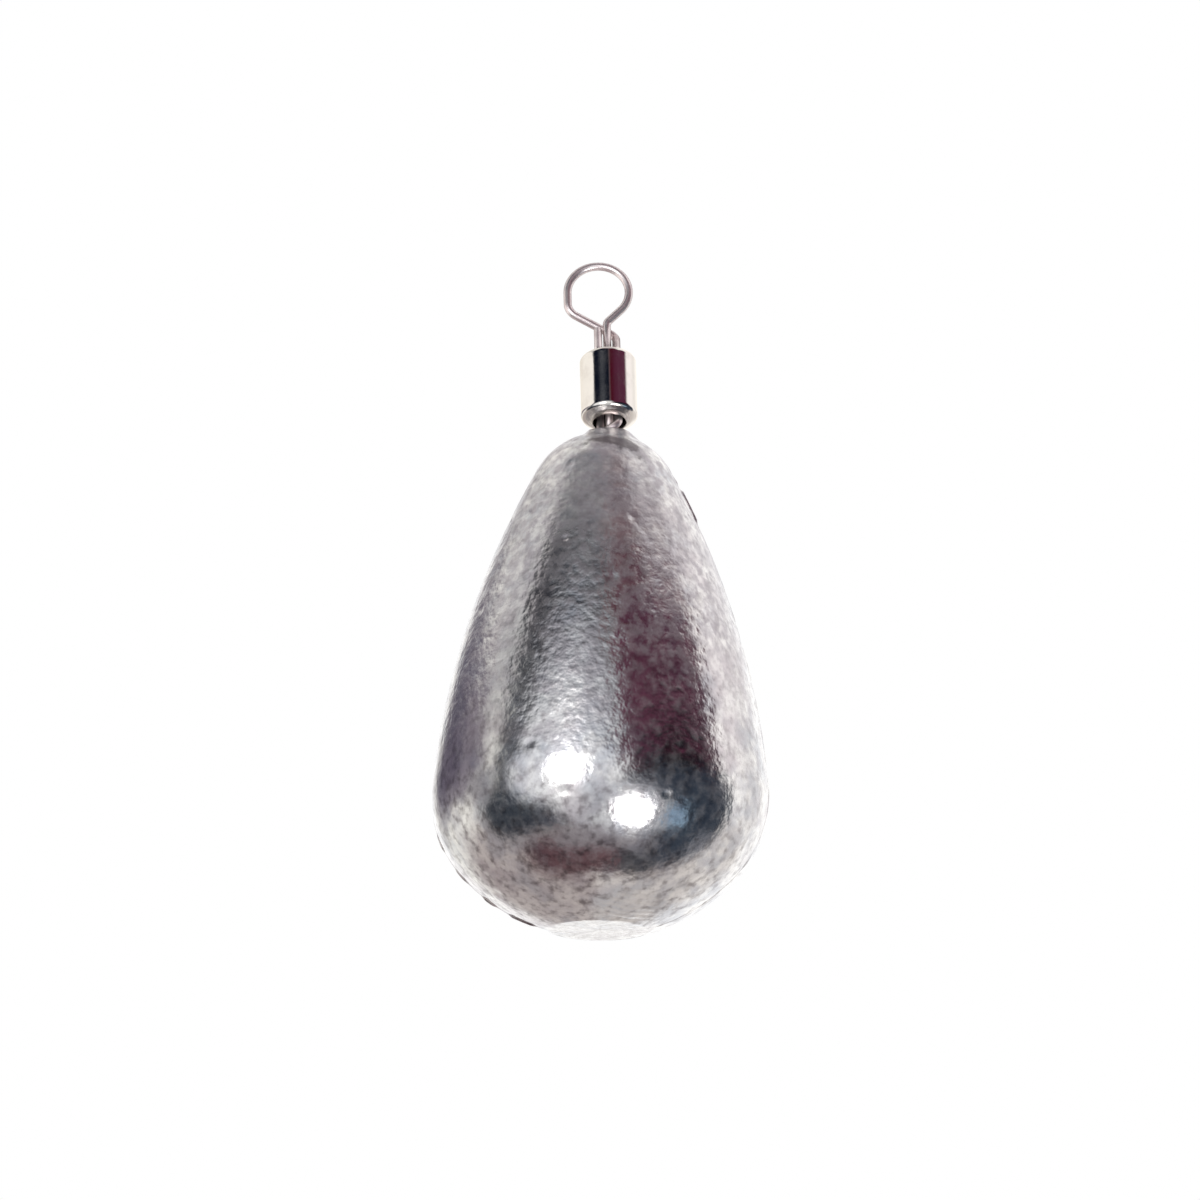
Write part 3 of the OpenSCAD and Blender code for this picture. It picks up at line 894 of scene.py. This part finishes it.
def floor_paper():
    """White paper, matt and a little fibrous, which is plain white further off and clear from below."""
    material, tree = new_material("white paper floor")
    at = add(tree, "ShaderNodeTexCoord").outputs["Object"]
    fibre = add(tree, "ShaderNodeTexNoise", grain(at, FIBRE_W))
    paper = add(tree, "ShaderNodeMix", {"Factor": fibre, "A": linear("#F4F4F3"), "B": linear("#EFEFEE")},
                data_type="RGBA")
    matt = add(tree, "ShaderNodeBsdfDiffuse", {"Color": paper})
    white = add(tree, "ShaderNodeEmission", {"Color": linear("#FFFFFF"), "Strength": 1.0})
    far = add(tree, "ShaderNodeVectorMath", {0: at}, operation="LENGTH")
    near_end, far_end = (mm * MM for mm in FLOOR_FADE)
    fade = add(tree, "ShaderNodeMapRange", span(far, near_end, far_end, FLOOR_WHITE, 1.0),
               interpolation_type="SMOOTHSTEP")
    top = add(tree, "ShaderNodeMixShader", {0: fade, 1: matt, 2: white})
    below = add(tree, "ShaderNodeNewGeometry").outputs["Backfacing"]
    clear = add(tree, "ShaderNodeBsdfTransparent")
    side = add(tree, "ShaderNodeMixShader", {0: below, 1: top, 2: clear})
    add(tree, "ShaderNodeOutputMaterial", {"Surface": side})
    return material


def make_floor():
    """Pale floor under the sinker, which takes its shadow and fades into the white background."""
    half = FLOOR_HALF
    corners = [(-half, -half, 0), (half, -half, 0), (half, half, 0), (-half, half, 0)]
    mesh = bpy.data.meshes.new("floor")
    mesh.from_pydata(corners, [], [(0, 1, 2, 3)])
    mesh.materials.append(floor_paper())
    floor = bpy.data.objects.new("floor", mesh)
    floor.location.z = -FLOOR_DROP * MM
    bpy.context.scene.collection.objects.link(floor)
    floor.visible_glossy = False
    floor.visible_shadow = False


# White card close to the barrel: the ends of its foot seen from above, its lower and upper edge, in
# millimetres, and how bright it is
CARD_ENDS = ((-12.8, -3.9), (-7.5, 14.1))
CARD_LOW, CARD_HIGH = 37.5, 47.0
CARD_LEVEL = 1.1


def lit_card():
    """White paper, evenly lit: it gives the barrel's left side a clean white."""
    material, tree = new_material("white paper card")
    at = add(tree, "ShaderNodeTexCoord").outputs["Object"]
    fibre = add(tree, "ShaderNodeTexNoise", grain(at, FIBRE_W))
    paper = add(tree, "ShaderNodeMix", {"Factor": fibre, "A": linear("#FBF9F6"), "B": linear("#F6F3EF")},
                data_type="RGBA")
    glow = add(tree, "ShaderNodeEmission", {"Color": paper, "Strength": CARD_LEVEL})
    add(tree, "ShaderNodeOutputMaterial", {"Surface": glow})
    return material


def make_white_card():
    """A small white card close to the barrel on the left, seen only in its mirror."""
    left, right = CARD_ENDS
    corners = [(*left, CARD_LOW), (*right, CARD_LOW), (*right, CARD_HIGH), (*left, CARD_HIGH)]
    mesh = bpy.data.meshes.new("white card")
    mesh.from_pydata([Vector(p) * MM for p in corners], [], [(0, 1, 2, 3)])
    mesh.materials.append(lit_card())
    card = bpy.data.objects.new("white_card", mesh)
    bpy.context.scene.collection.objects.link(card)
    card.visible_camera = False
    card.visible_diffuse = False
    card.visible_shadow = False


make_camera()
make_world()
make_white_card()
for settings in LAMPS:
    lamp(*settings)
make_floor()
bpy.context.scene.view_settings.view_transform = "Standard"
